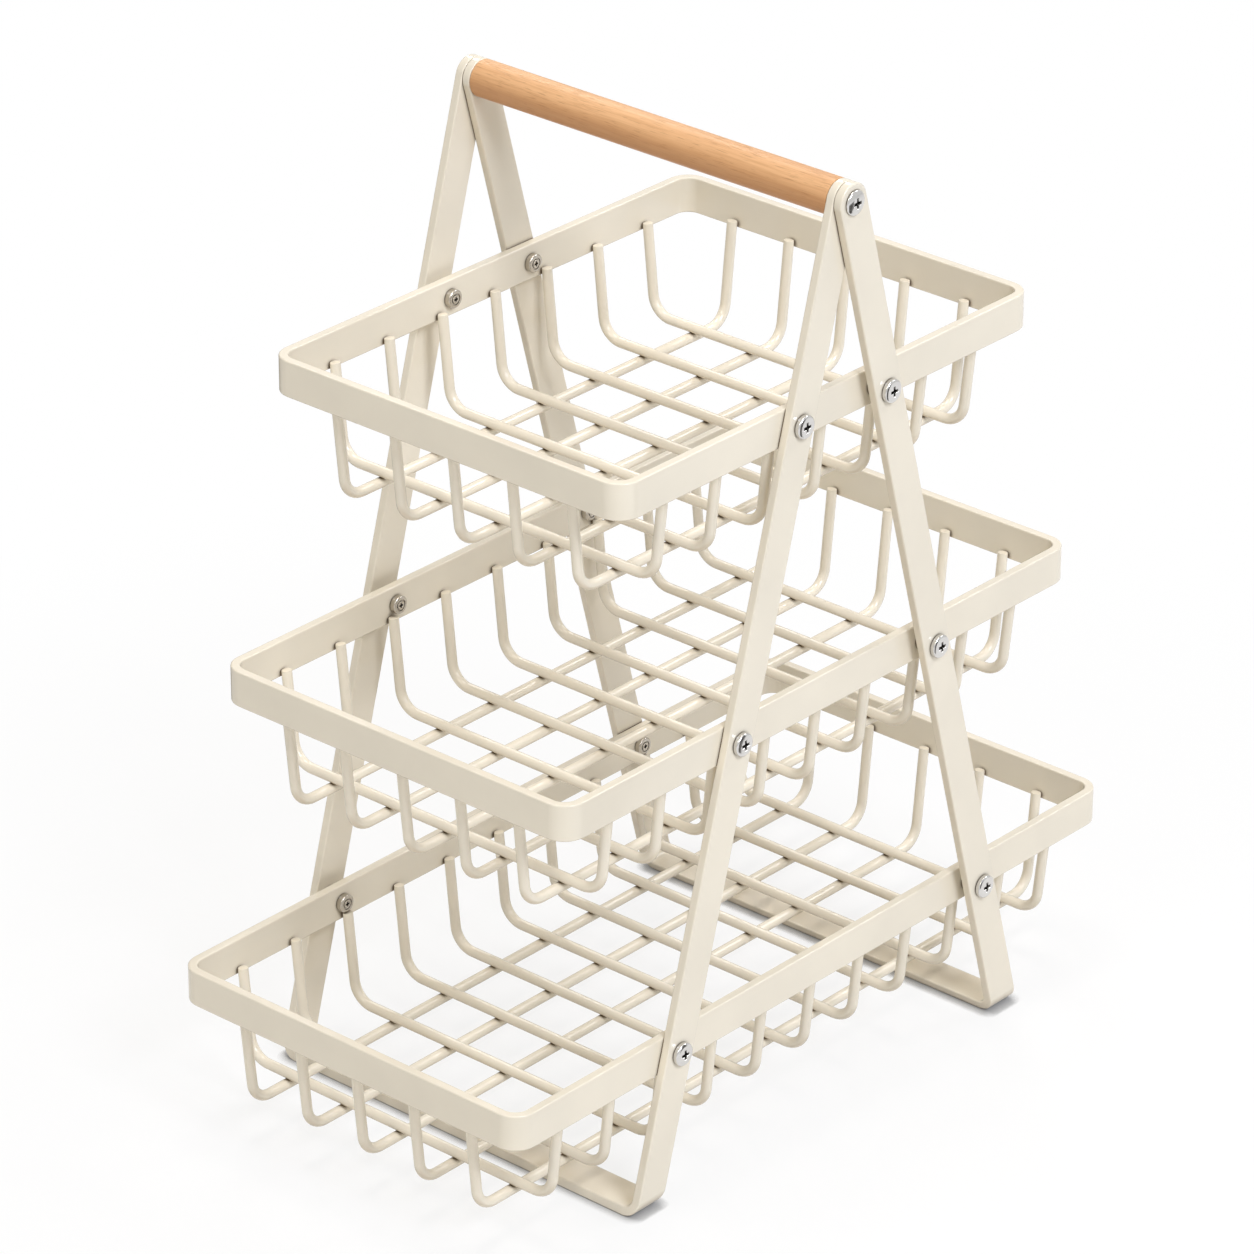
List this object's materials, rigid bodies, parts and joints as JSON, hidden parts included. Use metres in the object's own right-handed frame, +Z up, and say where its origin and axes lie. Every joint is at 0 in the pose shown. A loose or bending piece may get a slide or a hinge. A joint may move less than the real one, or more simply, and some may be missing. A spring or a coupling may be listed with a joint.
{
  "type": "tiered wire basket",
  "caption": "Free-standing tiered wire basket: open wire baskets bolted between crossed flat-bar legs that meet at a round wooden carrying handle.",
  "frame": {"origin": "middle of the stand at floor level, under the handle", "axes": "+Z up; X along the baskets' long sides, in the plane of the A made by the legs; Y along the handle; the picture's near side is -Y and its left end is -X"},
  "size_m": [0.377, 0.2096, 0.418],
  "materials": {
    "coat": "satin powder coat",
    "beech": "smooth oiled",
    "chrome": "bright plated",
    "nickel": "nickel plated",
    "insert": "plain turned"
  },
  "bodies": {
    "root": {"left_leg_frame": "coat", "right_leg_frame": "coat", "handle": "beech", "handle_inserts": "insert", "handle_screws": "chrome", "top_rim": "coat", "top_long_wire_1": "coat", "top_long_wire_2": "coat", "top_long_wire_3": "coat", "top_long_wire_4": "coat", "top_long_wire_5": "coat", "top_cross_wire_1": "coat", "top_cross_wire_2": "coat", "top_cross_wire_3": "coat", "top_cross_wire_4": "coat", "top_cross_wire_5": "coat", "top_cross_wire_6": "coat", "top_cross_wire_7": "coat", "top_posts": "chrome", "top_screws": "nickel", "top_spacers": "nickel", "middle_rim": "coat", "middle_long_wire_1": "coat", "middle_long_wire_2": "coat", "middle_long_wire_3": "coat", "middle_long_wire_4": "coat", "middle_long_wire_5": "coat", "middle_cross_wire_1": "coat", "middle_cross_wire_2": "coat", "middle_cross_wire_3": "coat", "middle_cross_wire_4": "coat", "middle_cross_wire_5": "coat", "middle_cross_wire_6": "coat", "middle_cross_wire_7": "coat", "middle_cross_wire_8": "coat", "middle_cross_wire_9": "coat", "middle_posts": "chrome", "middle_screws": "nickel", "middle_spacers": "nickel", "bottom_rim": "coat", "bottom_long_wire_1": "coat", "bottom_long_wire_2": "coat", "bottom_long_wire_3": "coat", "bottom_long_wire_4": "coat", "bottom_long_wire_5": "coat", "bottom_cross_wire_1": "coat", "bottom_cross_wire_2": "coat", "bottom_cross_wire_3": "coat", "bottom_cross_wire_4": "coat", "bottom_cross_wire_5": "coat", "bottom_cross_wire_6": "coat", "bottom_cross_wire_7": "coat", "bottom_cross_wire_8": "coat", "bottom_cross_wire_9": "coat", "bottom_cross_wire_10": "coat", "bottom_cross_wire_11": "coat", "bottom_posts": "chrome", "bottom_screws": "nickel", "bottom_spacers": "nickel"}
  },
  "joints": []
}
